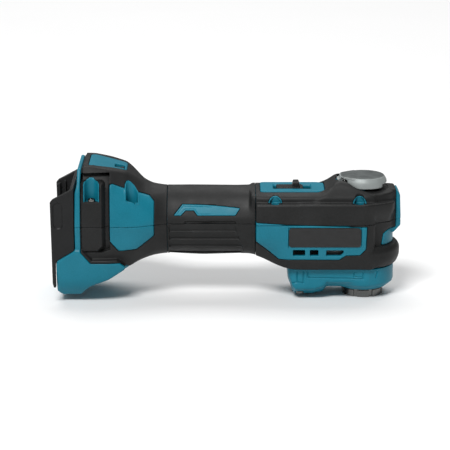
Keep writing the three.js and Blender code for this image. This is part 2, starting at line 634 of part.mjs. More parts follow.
const pinBlock = join(
  slabY(camOutline, -5, 5),
  box([-3.4, 4], [-6.3, 6.3], [-4, 3.4]),
  box([-2, 6], [-6.3, 6.3], [1, 3]),
);
piece(
  "lever",
  cut(
    join(disc, pinBlock),
    bothSides((sign) => box([-9, 3.4], grown([sign * 8.3, sign * 8.3], 1.8), [-9, 3.1])),
    alongY(rod(2.3, -20, 20, 16)),
  ),
  "silver",
  lever,
);
piece("lever_pin", alongY(rod(2, -9.6, 9.6, 16)), "steel", lever);
piece(
  "release_plate",
  join(box([96, 122], [-6, 6], [92.4, 94.5]), aboutSpindle(rod(5, 86.5, 93, 20))),
  "steel",
);

export default tool;
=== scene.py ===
# A cordless oscillating multi-tool, seen from its right side. The shapes are distance fields in
# millimetres, in the frame of the CAD model, meshed on a grid and pulled onto their surfaces.
import json
import math

import bpy
import numpy as np
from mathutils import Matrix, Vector

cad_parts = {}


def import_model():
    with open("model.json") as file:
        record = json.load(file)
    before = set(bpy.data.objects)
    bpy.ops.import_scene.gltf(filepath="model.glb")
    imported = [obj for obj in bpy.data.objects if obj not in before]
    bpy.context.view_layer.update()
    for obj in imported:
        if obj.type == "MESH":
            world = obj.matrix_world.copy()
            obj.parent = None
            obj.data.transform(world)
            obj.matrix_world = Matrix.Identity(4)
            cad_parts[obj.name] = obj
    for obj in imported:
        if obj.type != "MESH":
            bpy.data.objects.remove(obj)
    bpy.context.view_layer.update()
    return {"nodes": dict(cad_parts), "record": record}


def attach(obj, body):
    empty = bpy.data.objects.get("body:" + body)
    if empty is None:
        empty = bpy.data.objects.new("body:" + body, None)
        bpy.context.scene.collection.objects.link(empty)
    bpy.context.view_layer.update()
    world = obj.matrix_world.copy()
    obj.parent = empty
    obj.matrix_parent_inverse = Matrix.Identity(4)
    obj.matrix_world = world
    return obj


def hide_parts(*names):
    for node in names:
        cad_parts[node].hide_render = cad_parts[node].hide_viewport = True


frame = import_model()

MM = 0.001
SPINDLE_X = 116.0
CREASE_Z = 67.0  # height of the widest line, where the two halves of the housing meet
SEAM = 0.05  # half of the gap between the two halves
SKIN = 1.7  # thickness of the soft layer
WALL = 4.6  # from the outer surface to the hollow inside
COARSE = 1.0  # grid size relative to the finished one


# ---- Fields: negative inside, in millimetres ----------------------------------------------
def smax(a, b, r):
    """Where both fields are inside, with the meeting edge rounded by about r."""
    h = np.maximum(r - np.abs(a - b), 0.0) / r
    return np.maximum(a, b) + h * h * r * 0.25


def smin(a, b, r):
    """Where either field is inside, with the inner corner filled by about r."""
    return -smax(-a, -b, r)


def cut(base, tool, r=0.4):
    """The base without the tool."""
    return smax(base, -tool, r)


def all_of(r, *fields):
    out = fields[0]
    for f in fields[1:]:
        out = smax(out, f, r)
    return out


def any_of(r, *fields):
    out = fields[0]
    for f in fields[1:]:
        out = smin(out, f, r)
    return out


def span(u, u0, u1):
    """The slab between u0 and u1."""
    return np.abs(u - (u0 + u1) / 2) - (u1 - u0) / 2


def box(x, y, z, xs, ys, zs, r=0.4):
    return all_of(r, span(x, *xs), span(y, *ys), span(z, *zs))


def rod(u, v, w, r, w0, w1, edge=0.4):
    """A round bar of radius r along w."""
    return smax(np.hypot(u, v) - r, span(w, w0, w1), edge)


def inset(points, t):
    """The outline moved inwards by t, edge by edge."""
    p = np.array(points, float)
    q = np.roll(p, -1, 0)
    if np.sum(p[:, 0] * q[:, 1] - q[:, 0] * p[:, 1]) < 0:
        p = p[::-1]
        q = np.roll(p, -1, 0)
    e = (q - p) / np.linalg.norm(q - p, axis=1)[:, None]
    n = np.stack([-e[:, 1], e[:, 0]], 1)
    m = np.roll(n, 1, 0)
    return p + (m + n) * (t / (1 + np.sum(m * n, 1)))[:, None]


def outline(u, v, points, r=0.0):
    """Signed distance to a closed outline whose outer corners are rounded by r."""
    p = inset(points, r)
    best = np.inf
    side = 1.0
    for (ax, ay), (bx, by) in zip(p, np.roll(p, -1, 0)):
        ex, ey = bx - ax, by - ay
        wx, wy = u - ax, v - ay
        t = np.clip((wx * ex + wy * ey) / (ex * ex + ey * ey), 0, 1)
        best = np.minimum(best, (wx - ex * t) ** 2 + (wy - ey * t) ** 2)
        up, down, left = v >= ay, v < by, ex * wy > ey * wx
        side = side * np.where((up & down & left) | ~(up | down | left), -1.0, 1.0)
    return side * np.sqrt(best) - r


def convex(u, v, points, r):
    """The inside of a convex outline as a soft meeting of its edges."""
    p = inset(points, 0.0)
    fields = []
    for (ax, ay), (bx, by) in zip(p, np.roll(p, -1, 0)):
        length = math.hypot(bx - ax, by - ay)
        fields.append(((by - ay) * (u - ax) - (bx - ax) * (v - ay)) / length)
    return all_of(r, *fields)


def half(points):
    """A plan or section given for one side, closed through the far side of the middle."""
    return [(points[0][0], -60), *points, (points[-1][0], -60)]


def run(points, blur):
    """A value along X, given at stations and softened over blur millimetres."""
    xs = np.arange(-170.0, 170.0, 0.5)
    values = np.interp(xs, [p[0] for p in points], [p[1] for p in points])
    k = np.exp(-0.5 * (np.arange(-60, 61) * 0.5 / blur) ** 2)
    padded = np.pad(values, 60, mode="edge")
    soft = np.convolve(padded, k / k.sum(), mode="valid")
    return lambda x: np.interp(x, xs, soft)


def edge(y, z, y0, z0, y1, z1):
    """Distance outside the line from (y0, z0) down to (y1, z1) across the body."""
    dy, dz = y1 - y0, z1 - z0
    return ((y - y0) * -dz + (z - z0) * dy) / np.hypot(dy, dz)


def ramp(v, v0, v1):
    """0 below v0, 1 above v1, smooth between."""
    t = np.clip((v - v0) / (v1 - v0), 0, 1)
    return t * t * (3 - 2 * t)


# ---- The rear block and the grip -------------------------------------------------------------
TOP = run([(-127, 116.5), (-112, 116.4), (-98, 113.8), (-84.5, 111.0), (-77.5, 105.4), (-70.5, 98.9),
           (-63, 95.9), (-54, 95.1), (-30, 95.2), (0, 94.8), (14, 94.6), (40, 93)], 2.0)
TOP_Y = run([(-127, 27.5), (-98, 25.5), (-84, 19), (-70, 12), (-50, 9), (20, 10), (40, 13)], 3)
SHOULDER_Y = run([(-127, 35.8), (-98, 34.8), (-84, 33.2), (-74, 31.5), (-62, 27), (-52, 22.8),
                  (0, 22.8), (16, 23.5), (40, 24)], 3)
SHOULDER_Z = run([(-127, 103), (-98, 101), (-84, 95.5), (-70, 88.5), (-58, 84), (40, 83)], 3)
SIDE_Y = run([(-127, 39.6), (-98, 39.6), (-84, 38.9), (-74, 37.4), (-64, 33.4), (-55, 29),
              (-48, 27.8), (-20, 28.2), (5, 27.8), (15, 28), (25, 28.5), (40, 29)], 3)
LOW_Y = run([(-127, 37.2), (-98, 36.6), (-84, 35.6), (-74, 34.2), (-64, 30.0), (-55, 25.6),
             (-48, 24.6), (10, 24.4), (25, 26), (40, 27)], 3)
LOW_Z = run([(-127, 44), (-98, 45), (-70, 49), (-50, 49), (40, 47)], 3)
BASE_Y = run([(-127, 34), (-111, 32), (-98, 29), (-84, 25), (-70, 20), (-55, 14), (10, 14),
              (25, 18), (40, 20)], 3)
BASE = run([(-127, 38), (-118, 27), (-108, 21.6), (-97, 22), (-84, 28.2), (-74, 33.2), (-63, 35.5),
            (-48, 35.8), (-20, 34.6), (10, 35.4), (20, 36.6), (40, 34)], 2.5)
ROUND = run([(-127, 1.6), (-80, 2.4), (-62, 8), (-50, 11), (10, 11), (26, 7)], 3)
CREASE_ROUND = run([(-127, 0.8), (-75, 0.8), (-58, 4), (-45, 5), (26, 3)], 3)


def rear_and_grip(x, y, z):
    a = np.abs(y)
    r = ROUND(x)
    upper = all_of(
        r,
        z - TOP(x),
        edge(a, z, TOP_Y(x), TOP(x), SHOULDER_Y(x), SHOULDER_Z(x)),
        edge(a, z, SHOULDER_Y(x), SHOULDER_Z(x), SIDE_Y(x), CREASE_Z),
    )
    lower = all_of(
        r,
        edge(a, z, SIDE_Y(x), CREASE_Z, LOW_Y(x), LOW_Z(x)),
        edge(a, z, LOW_Y(x), LOW_Z(x), BASE_Y(x), BASE(x)),
        BASE(x) - z,
    )
    return smax(upper, lower, CREASE_ROUND(x))


FOOT_SIDE = [(-127, 47), (-141.8, 38.2), (-143, 35), (-143, 9.5), (-138.6, 4.6), (-123.5, 4.6),
             (-119.5, 9.6), (-115.2, 13.6), (-99.4, 20.4), (-86, 29), (-84, 32), (-92, 38.5),
             (-113, 38.5), (-121, 47)]
FOOT_SECTION = [(-39.5, 70), (-38.9, 30), (-35.5, 15.5), (-27, 4.6), (27, 4.6), (35.5, 15.5),
                (38.9, 30), (39.5, 70)]


def foot(x, y, z):
    narrower = np.clip((x + 100) * 0.16, 0, 8)
    section = convex(y, z, FOOT_SECTION, 3.0) + narrower
    return all_of(2.4, outline(x, z, FOOT_SIDE, 1.5), section, x + 84.0)


RECESS = [(-121.4, 111.4), (-97.7, 111.4), (-97.7, 47.5), (-104.6, 44.6), (-121.4, 44.6)]
RECESS_DEPTH = 4.4
PAD = [(-120.9, 102.6), (-104.4, 102.6), (-104.4, 50.2), (-108.4, 46.2), (-120.9, 46.2)]


def side_recess(x, y, z, back):
    """The sunk field on each side of the rear block, with a pad standing in it."""
    within = smax(outline(x, z, RECESS, 1.0), 20 - np.abs(y), 1.0)
    slope = 1.2 * outline(x, z, PAD, 1.5)
    sunk = np.clip(slope + 0.7, 0.7, RECESS_DEPTH)
    return smax(back, np.minimum(-2.4 * within, back + sunk), 0.6)


def padding(x, y, z):
    """The soft layer is thicker round the sunk field, where its steps are steep."""
    return 2.0 * ramp(-outline(x, z, RECESS, 1.0), -4, -1) * ramp(np.abs(y), 20, 26)


def rear_frame(x, z):
    """How much lower the frame round the battery end stands than the block in front of it."""
    lean = 0.035 * np.maximum(z - 66, 0)
    return 1.8 * ramp(z, 94, 104) * ramp(lean - 121.6 - x, -0.5, 0.7)


def ribbing(x, z):
    """Shingled ribs on both sides of the grip, under its widest line."""
    zone = outline(x, z, [(-49, 67), (-36.5, 67), (-34.8, 69.4), (7.6, 69.4), (8.6, 60),
                          (14.5, 44), (12, 36), (-49, 36)], 0.5)
    phase = np.mod((67.0 - z) / 7.3, 1.0)
    step = 1.3 * np.minimum(phase, (1 - phase) * 8)
    return np.clip(-zone, 0, 1) * (0.3 + step)


# ---- The front body --------------------------------------------------------------------------
LOW_PLAN = half([(24.2, 33), (118, 33), (124.5, 28.5)])
BROW_PLAN = half([(60, 33), (118, 33), (140, 20.5), (142.8, 12)])
DECK_PLAN = half([(20, 24), (26, 26), (116, 26), (134, 19.6), (141.5, 12.5), (143, 8)])
NOSE_SIDE = [(100, 56), (141.4, 55.5), (147.2, 61.8), (147.2, 70), (146.4, 88), (144.4, 91.6),
             (141, 93), (100, 93)]
HUMP_SIDE = [(76, 84), (83, 92.8), (93.2, 101.4), (99, 101.4), (112, 96.8), (124, 89), (124, 84)]
LEDGE_Z = 84.6
DECK_Z = 92.9
BUMPER_R = 31.2
NECK_R = 25.5


def front(x, y, z):
    a = np.abs(y)
    radius = np.hypot(x - SPINDLE_X, y)
    bottom = convex(x, z, [(18, 40.2), (49, 27.6), (160, 27.6), (160, 120), (18, 120)], 6)
    start = 1 - ramp(x, 24, 56)
    skirt = edge(a, z, 33, 46 + 8 * start, 30.5 - 11 * start, 28 + 8 * start)
    low = all_of(2.2, convex(x, a, LOW_PLAN, 2.2), bottom, z - LEDGE_Z, skirt)
    plan = convex(x, a, BROW_PLAN, 2.0)
    under = (plan + 0.42 * (77 - z)) / 1.085
    brow = all_of(1.8, plan, under, z - LEDGE_Z, 56 - z)
    nose = smax(outline(x, z, NOSE_SIDE, 1.5), a - 10.6, 1.2)
    deck = all_of(3.0, convex(x, a, DECK_PLAN, 3.0), edge(a, z, 16.5, DECK_Z, 25.6, 89.4),
                  z - DECK_Z, 60 - z)
    hump = all_of(3.0, convex(x, z, HUMP_SIDE, 2.5), edge(a, z, 15.5, 101.4, 25.4, 89.4), a - 25.8)
    bumper = all_of(2.0, radius - BUMPER_R, radius - BUMPER_R + 0.55 * (34 - z), 28.2 - z,
                    radius - BUMPER_R + 0.85 * (z - 43.2), z - 47)
    neck = all_of(0.6, radius - NECK_R, z - 66, 30 - z)
    body = smin(smin(low, brow, 1.5), nose, 0.8)
    body = smin(body, smin(deck, hump, 5.0), 2.0)
    return smin(body, smin(bumper, neck, 1.2), 1.2)


# ---- The whole outer form ---------------------------------------------------------------------
def form(x, y, z):
    rear_face = -127.0 + 0.01 * np.maximum(z - 66, 0) - x
    back = all_of(1.4, rear_and_grip(x, y, z), rear_face, x - 34.0)
    back = side_recess(x, y, z, back + rear_frame(x, z))
    back = smin(back, foot(x, y, z), 2.0)
    return smin(back + ribbing(x, z), front(x, y, z), 2.5)


# ---- Regions that the soft layer leaves bare, and the plates let into it ------------------------
REAR_PANEL = [(-97.8, 102.2), (-95.4, 102.8), (-64.8, 90.2), (-61.0, 85.6), (-61.2, 57.8),
              (-75.8, 46.8), (-90.3, 45.8), (-97.6, 54.6)]
FRAME_REGION = [(-160, 140), (-121.0, 140), (-121.3, 117), (-122.2, 104), (-122.4, 45),
                (-114.2, 35.4), (-89.8, 35.4), (-82.6, 29.6), (-80, 0), (-160, -20)]
LABEL_PANEL = [(24.4, 69.4), (50.7, 67.6), (117.6, 65.4), (116.8, 46.1),
               (111.8, 41.1), (100.1, 40.7), (94.4, 36.9), (43.7, 37.1), (24.4, 53.1)]
NOSE_WINDOW = [(130.4, 47), (131.8, 56.6), (135.8, 59.4), (160, 62.5), (160, 47)]
ACCENT = [(-44.5, 73.8), (-37.2, 82.3), (-18.5, 81.8), (-10, 81.3), (11.1, 79.4), (7.1, 73.8),
          (-24.5, 73.8), (-27.6, 77.7), (-34.6, 77.7), (-38.6, 73.8)]
SWITCH_PLATE = half([(28.2, 15), (30, 16.5), (77.5, 16.5), (82.5, 13)])
DIAL_PLATE = half([(-115.6, 18.5), (-112, 20.5), (-84, 12)])
NAME_PLATE = {"x": (52.0, 112.7), "z": (48.4, 64.9)}
SLIDE = {"x": (39.6, 71.0), "y": (-7.0, 7.0)}
DIAL = {"x": -90.0, "y": -5.6, "z": 102.0, "r": 9.2, "half": 3.5}
LEVER = {"x": 99.5, "z": 99.5, "r": 19.5}
# The screw channels of one side: where they stand, how wide, their floor, and how much of the
# housing shows round them as a sleeve through the soft layer.
CHANNELS = {
    "rear": {"x": -112.8, "y": 33.3, "r": 5.5, "floor": 88.2, "sleeve": 1.0},
    "shoulder": {"x": -79.1, "y": 28.6, "r": 4.9, "floor": 78.0, "sleeve": 1.0},
    "middle": {"x": 40.6, "y": 27.0, "r": 3.5, "floor": 79.5, "sleeve": 0.2},
    "front": {"x": 111.2, "y": 27.0, "r": 3.5, "floor": 79.5, "sleeve": 0.2},
}
ARCH_Z = 104.6  # where the open side of the rear channel starts to close in a round arch
SCALLOP = {"r": 4.6, "back": 23.2}  # the arch over each front channel, standing on the ledge
VENTS = [
    [(55.6, 40.6), (65.8, 40.6), (65.8, 45.7), (55.6, 45.7)],
    [(69.8, 40.6), (76.9, 40.6), (76.9, 45.7), (69.8, 45.7)],
    [(83.5, 40.6), (95.7, 40.6), (98.0, 43.0), (98.2, 45.5), (83.5, 45.5)],
]


def channels(x, y, z, grow=0.0):
    """The two rear channels open to the side, the two front ones are bores under an arch."""
    a = np.abs(y)
    out = 99.0
    for place, c in CHANNELS.items():
        u = x - c["x"]
        hollow = np.hypot(u, a - c["y"]) - c["r"]
        if place == "rear":
            side = smax(np.hypot(u, np.maximum(z - ARCH_Z, 0)) - c["r"], c["y"] - a, 0.6)
            hollow = smax(np.minimum(hollow, side), z - ARCH_Z - c["r"], 1.0)
        if place == "shoulder":
            side = all_of(0.5, np.abs(u) - c["r"], c["y"] - a, 87.6 - 0.2 * u - z)
            hollow = np.minimum(hollow, side)
        out = np.minimum(out, smax(hollow - grow * c["sleeve"], c["floor"] - z, 0.5))
        if c["x"] > 0:
            arch = np.hypot(u, z - LEDGE_Z) - SCALLOP["r"] - grow
            scallop = all_of(0.4, arch, SCALLOP["back"] - grow - a, LEDGE_Z + 0.1 - z)
            out = np.minimum(out, scallop)
    return out


def screw_posts(x, y, z):
    """The posts under the screw channels, which the hollow inside goes round."""
    a = np.abs(y)
    out = 99.0
    for c in CHANNELS.values():
        post = np.hypot(x - c["x"], a - c["y"]) - c["r"] - 1.6
        out = np.minimum(out, smax(post, z - c["floor"] - 3, 0.5))
    return out


def bare(x, y, z):
    """Where the housing shows between the parts of the soft layer."""
    a = np.abs(y)
    sides = smin(outline(x, z, REAR_PANEL, 2.2), outline(x, z, LABEL_PANEL, 0.5), 0.1)
    strip = all_of(0.8, a - 13, 143.1 - x, 60 - z)
    return any_of(0.1, smax(sides, 14 - a, 0.3), outline(x, z, FRAME_REGION, 0.6),
                  outline(x, z, NOSE_WINDOW, 1.0), strip)


def plate_pockets(x, y, z, outer):
    """Room for the switch plate and the dial plate, 0.3 mm larger than they are."""
    switch = smax(convex(x, np.abs(y), SWITCH_PLATE, 1.0) - 0.3, 89.3 - z, 0.3)
    dial = all_of(0.3, convex(x, np.abs(y), DIAL_PLATE, 1.5) - 0.3, -3.4 - outer, 100.0 - z)
    return np.minimum(switch, dial)


def lever_pocket(x, y, z):
    """Room for the lever's disc, tail and cam at every angle, and for the plate and ears below."""
    a = np.abs(y)
    u, w = x - LEVER["x"], z - LEVER["z"]
    disc = smax(np.hypot(x - SPINDLE_X, y) - LEVER["r"] - 0.7, 93.2 - z, 0.5)
    tail = smax(np.hypot(u, w) - 5.3, a - 10.6, 0.3)
    corner = all_of(0.3, np.hypot(u, w) - 5.3, a - 12.2, 99.2 - z)
    cam = all_of(0.3, np.hypot(u, w) - 6.9, a - 5.5, w - 1.0)
    plate = box(x, y, z, (95.4, 122.6), (-6.5, 6.5), (84, 98))
    ears = box(x, a, z, (96.2, 102.9), (6.2, 10.4), (80, 98))
    return any_of(0.2, disc, tail, corner, cam, plate, ears)


def through_cuts(x, y, z):
    """Openings that go through the shell: vents, terminals, switch, dial, gear case and lever."""
    a = np.abs(y)
    vents = any_of(0.1, *[smax(outline(x, z, v, 0.6), 20 - a, 0.3) for v in VENTS])
    terminals = box(x, y, z, (-135, -119), (-17.5, 17.5), (47.5, 82.5))
    slider = box(x, y, z, (37, 76), (-9.6, 9.6), (84, 92))
    wheel = all_of(0.4, np.abs(x - DIAL["x"]) - 4.6, np.abs(y - DIAL["y"]) - 9.7, 91 - z)
    case = rod(x - SPINDLE_X, y, z, 21.8, 20, 34)
    return any_of(0.1, vents, terminals, slider, wheel, case, lever_pocket(x, y, z))


# ---- Housing, soft layer and the trim let into them ----------------------------------------------
def housing(x, y, z):
    outer = form(x, y, z)
    sleeves = smax(outer - 0.25, channels(x, y, z, 1.1), 0.3)
    soft = SKIN + padding(x, y, z)
    shell = any_of(0.3, outer + soft + 0.3, smax(outer, bare(x, y, z), 1.0), sleeves)
    shell = cut(shell, channels(x, y, z), 0.4)
    shell = cut(shell, plate_pockets(x, y, z, outer), 0.3)
    shell = cut(shell, through_cuts(x, y, z), 0.5)
    label = box(x, y, z, (51.6, 113.1), (-40, -32.2), (48.0, 65.3), 0.3)
    solid = np.minimum(screw_posts(x, y, z), channels(x, y, z, 1.8))
    room = cut(outer + WALL + soft - SKIN, solid, 0.8)
    return cut(cut(shell, label, 0.3), room, 0.6)


def soft_layer(x, y, z):
    outer = form(x, y, z)
    soft = SKIN + padding(x, y, z)
    layer = all_of(0.8, outer, -soft - outer, 0.3 - bare(x, y, z))
    layer = cut(layer, channels(x, y, z, 1.2), 0.4)
    layer = cut(layer, plate_pockets(x, y, z, outer + 99), 0.4)
    layer = cut(layer, smax(outline(x, z, ACCENT, 0.4) - 0.3, 12 - np.abs(y), 0.3), 0.4)
    return cut(layer, np.minimum(lever_pocket(x, y, z) - 0.3, through_cuts(x, y, z)), 0.5)


def upper(field):
    return lambda x, y, z: smax(field(x, y, z), CREASE_Z + SEAM - z, 0.15)


def lower(field):
    return lambda x, y, z: smax(field(x, y, z), z - CREASE_Z + SEAM, 0.15)


def between(field, x0, x1):
    return lambda x, y, z: smax(field(x, y, z), span(x, x0, x1), 0.5)


def accent(x, y, z):
    outer = form(x, y, z)
    shape = outline(x, z, ACCENT, 0.3)
    line = 0.3 * np.clip(1 - np.abs(shape + 1.2) / 0.35, 0, 1) * ramp(-x, 10, 16)
    return all_of(0.4, outer - 0.12 + line, -1.55 - outer, shape)


def switch_plate(x, y, z):
    plan = convex(x, np.abs(y), SWITCH_PLATE, 1.0)
    plate = all_of(0.9, plan, span(z, 89.7, 92.9))
    slot = all_of(1.5, span(x, *SLIDE["x"]), span(y, *SLIDE["y"]))
    lead_in = slot + 0.9 * np.clip(92.4 - z, 0, 1.2) - 0.6
    return cut(cut(plate, slot, 0.4), smax(lead_in, 91.6 - z, 0.2), 0.4)


def dial_plate(x, y, z):
    outer = form(x, y, z)
    plate = all_of(0.7, convex(x, np.abs(y), DIAL_PLATE, 1.5), outer, -3.1 - outer, 100 - z)
    window = all_of(1.2, span(x, DIAL["x"] - 4.2, DIAL["x"] + 4.2),
                    span(y, DIAL["y"] - 5.6, DIAL["y"] + 6.4))
    lead_in = window + 0.9 * (-outer) - 0.5
    return cut(plate, np.minimum(window, smax(lead_in, -1.6 - outer, 0.2)), 0.4)


def name_plate(x, y, z):
    face = all_of(3.0, span(x, *NAME_PLATE["x"]), span(z, *NAME_PLATE["z"]))
    return all_of(0.25, face, span(y, -33.12, -32.5))


# ---- Battery rails and terminals ------------------------------------------------------------------
RAIL_SIDE = [(-127.4, 104.0), (-128.7, 99.4), (-145.3, 90.5), (-147.3, 88.2), (-146.6, 43),
             (-146.3, 18.6), (-145.3, 14.6), (-143.4, 14.6), (-143.4, 34.2), (-142, 38),
             (-127.6, 46.8)]
RAIL_PAD = [(-144.7, 88.0), (-137.0, 88.0), (-137.0, 66.0), (-144.7, 66.0)]


def battery_rails(x, y, z):
    a = np.abs(y)
    walls = smax(outline(x, z, RAIL_SIDE, 0.6), a - 38.4, 0.9)
    middle = all_of(0.6, a - 33.4, x + 131.0)
    lips = all_of(0.5, span(x, -146.5, -143.4), span(a, 29.6, 34.0), span(z, 44, 88))
    ribs = all_of(0.4, span(x, -140.2, -138.6), span(a, 31.2, 34.0), span(z, 47, 90))
    rails = any_of(0.5, cut(walls, middle, 0.6), lips, ribs)
    sunk = 0.9 * np.clip(0.5 - outline(x, z, RAIL_PAD, 3.8), 0, 1) * (a > 36)
    opening = box(x, y, z, (-136, -120), (-17.5, 17.5), (49.7, 80.3), 0.8)
    return cut(rails + sunk, opening, 0.4)


def terminal_block(x, y, z):
    base = box(x, y, z, (-130.7, -121), (-16, 16), (50, 80), 0.8)
    tongue = box(x, y, z, (-142, -129), (-15, 15), (50, 76), 1.2)
    block = smin(base, tongue, 0.8)
    for y0 in (-10, 0, 10):
        mouth = span(y, y0 - 2.2, y0 + 2.2) - 0.8 * np.clip(-140.8 - x, 0, 1.2)
        block = cut(block, all_of(0.3, mouth, span(x, -144, -134), span(z, 49, 72)), 0.3)
    return block


def terminal(side_y):
    """The field of a contact blade that stands at side_y."""
    def blade(x, y, z):
        tip = 0.25 * np.clip(-139.5 - x, 0, 2)
        return all_of(0.2, np.abs(y - side_y) - 0.4 + 0.1 * tip, span(x, -141.5, -134.3),
                      span(z, 52, 70) + tip)
    return blade


# ---- Slide switch and speed dial -------------------------------------------------------------------
def switch_button(x, y, z):
    base = box(x, y, z, (41.2, 66), (-9, 9), (85.6, 89.2), 0.5)
    ridges = 0.3 * (0.5 + 0.5 * np.cos(2 * math.pi * x / 2.2)) * ramp(z, 91.5, 92.5)
    pad = all_of(1.2, span(x, 42, 64.5), np.abs(y) - 6.4, span(z, 88, 93.6) + ridges)
    ridge = outline(x, z, [(54.4, 90), (55.9, 97.1), (56.6, 97.8), (60.6, 97.8), (61.3, 97.1),
                           (62.8, 90)], 0.9)
    flutes = 0.25 * (0.5 + 0.5 * np.cos(2 * math.pi * (z - 91) / 1.9))
    knob = smax(ridge + flutes * ramp(z, 93.6, 94.4), np.abs(y) - 6.0, 1.4)
    return any_of(0.8, base, pad, knob)


def dial_wheel(x, y, z):
    u, w = y - DIAL["y"], z - DIAL["z"]
    angle = np.arctan2(w, u)
    knurl = 0.28 * np.abs(np.sin(18 * angle)) ** 0.6
    rim = np.hypot(u, w) - DIAL["r"] + 0.28 - knurl * ramp(np.abs(x - DIAL["x"]), 1.2, 1.6)
    wheel = smax(rim, np.abs(x - DIAL["x"]) - DIAL["half"], 0.8)
    dish = all_of(0.5, np.hypot(u, w) - 6.2, 2.2 - np.abs(x - DIAL["x"]))
    return cut(cut(wheel, dish, 0.4), np.hypot(u, w) - 1.9, 0.2)


# ---- Gear cover and lamp ----------------------------------------------------------------------------
COVER_SIDE = [(51.2, 27.2), (51.2, 18.4), (54.0, 11.2), (55.6, 5.8), (58.4, 3.0), (73.3, 3.0),
              (81.9, 5.4), (84.9, 9.2), (120, 9.2), (120, 27.2)]
COVER_R = 26.3
EMBOSSED = [  # lines on the side of the cover, as open paths
    [(59.5, 24.6), (59.6, 15.7), (55.7, 14.9)],
    [(59.6, 15.7), (64.8, 15.0), (64.9, 25)],
    [(68.2, 24.6), (68.3, 19.8), (115.4, 18.7), (115.4, 24.2)],
    [(107.5, 24.2), (107.5, 20.6), (113.5, 20.4)],
    [(126.0, 19.8), (127.2, 24.6)],
]
LENS = {"from": (82.3, 5.9), "to": (84.6, 8.9), "out": (0.79, -0.61)}
COVER_SCREW = {"x": 62.0, "y": 17.0}


def path_distance(u, v, points):
    """Distance to an open path."""
    best = np.inf
    for (ax, ay), (bx, by) in zip(points, points[1:]):
        ex, ey = bx - ax, by - ay
        wx, wy = u - ax, v - ay
        t = np.clip((wx * ex + wy * ey) / (ex * ex + ey * ey), 0, 1)
        best = np.minimum(best, (wx - ex * t) ** 2 + (wy - ey * t) ** 2)
    return np.sqrt(best)


def lens_block(x, y, z, front, back, half_width, r=0.3):
    """A block on the slanted seat of the lamp, from back to front along the way it shines."""
    (x0, z0), (x1, z1) = LENS["from"], LENS["to"]
    ox, oz = LENS["out"]
    length = math.hypot(x1 - x0, z1 - z0)
    across = ((x - x0) * (x1 - x0) + (z - z0) * (z1 - z0)) / length
    out = (x - x0) * ox + (z - z0) * oz
    return all_of(r, span(across, 0, length), span(out, back, front), np.abs(y) - half_width)


def gear_cover(x, y, z):
    a = np.abs(y)
    radius = np.hypot(x - SPINDLE_X, y)
    lift = 0.62 * np.maximum(a - 15, 0)
    body = all_of(2.0, 0.9 * outline(x, z - lift, COVER_SIDE, 0.8), a - COVER_R)
    body = smax(body, convex(x, a, half([(51.2, 22), (55.6, COVER_R), (130, COVER_R)]), 2.0), 1.5)
    bevel = ((radius - 19.2) * 5.7 - (z - 6.8) * 7.1) / 9.1
    drum = all_of(1.5, radius - COVER_R, bevel, 6.8 - z)
    cover = smax(smin(body, drum, 2.5), z - 27.2, 0.5)
    lines = np.min([path_distance(x, z, p) for p in EMBOSSED], axis=0)
    groove = 0.7 * np.clip(1.3 - lines / 0.6, 0, 1) * (a > 15)
    cover = cover + groove
    room = outline(x, z - lift, inset(COVER_SIDE, 2.8), 0.5)
    inner = all_of(1.0, room, a - COVER_R + 2.6, x - 96)
    above = all_of(0.6, span(x, 54.5, 96), a - COVER_R + 2.6, 20 - z)
    cover = cut(cover, np.minimum(inner, above), 0.5)
    cover = cut(cover, rod(x - SPINDLE_X, y, z, 16.2, 10.2, 30), 0.3)
    cover = cut(cover, rod(x - SPINDLE_X, y, z, 18.3, 0, 9.1), 0.3)
    cover = cut(cover, radius - 13, 0.3)
    cover = cut(cover, lens_block(x, y, z, 2, -6, 7.3), 0.3)
    wells = rod(x - COVER_SCREW["x"], a - COVER_SCREW["y"], z, 4.0, 0, 6.4)
    holes = np.hypot(x - COVER_SCREW["x"], a - COVER_SCREW["y"]) - 2.2
    return cut(cover, np.minimum(wells, holes), 0.3)


def led_lens(x, y, z):
    return lens_block(x, y, z, 0.2, -2.4, 7.0, 0.4)


# ---- Tool holder and clamp lever ---------------------------------------------------------------------
HOLDER_R = 17.6


def tool_holder(x, y, z):
    u = x - SPINDLE_X
    radius = np.hypot(u, y)
    angle = np.arctan2(y, u)
    ring = all_of(0.8, radius - HOLDER_R, span(z, 0, 8.7), radius - HOLDER_R - 0.9 + (z - 7.2))
    star = 8.8 + 0.8 * np.cos(12 * angle)
    socket = smax(radius - star, z - 7.0, 0.3)
    face = smax(radius - 14.6, z - 0.8, 0.3)
    turn = math.pi / 4
    near = np.mod(angle, turn) - turn / 2
    notch = all_of(0.4, np.abs(radius * np.sin(near)) - 1.6, HOLDER_R - 1.2 - radius)
    line = np.abs(z - 6.3) - 0.25 + 0 * x
    groove = smax(line, HOLDER_R - 0.35 - radius, 0.1)
    ring = cut(cut(ring, socket, 0.3), radius - 4.7, 0.3)
    return cut(cut(ring, np.minimum(notch, groove), 0.3), face, 0.3)


CAM = {"low": 4.7, "rise": 1.5, "turn": math.radians(88)}


def cam_outline():
    """The cam grows evenly as it turns, so it drives the flat plate under it evenly."""
    rate = CAM["rise"] / CAM["turn"]
    points = [(8, 0), (2, -CAM["low"])]
    for i in range(7):
        t = CAM["turn"] * i / 6
        h = CAM["low"] + rate * t
        points.append((-h * math.sin(t) - rate * math.cos(t), -h * math.cos(t) + rate * math.sin(t)))
    return [*points, (0, 3)]


LEVER_TAB = half([(95.4, 7.6), (106.6, 15.8), (109, 15.8)])


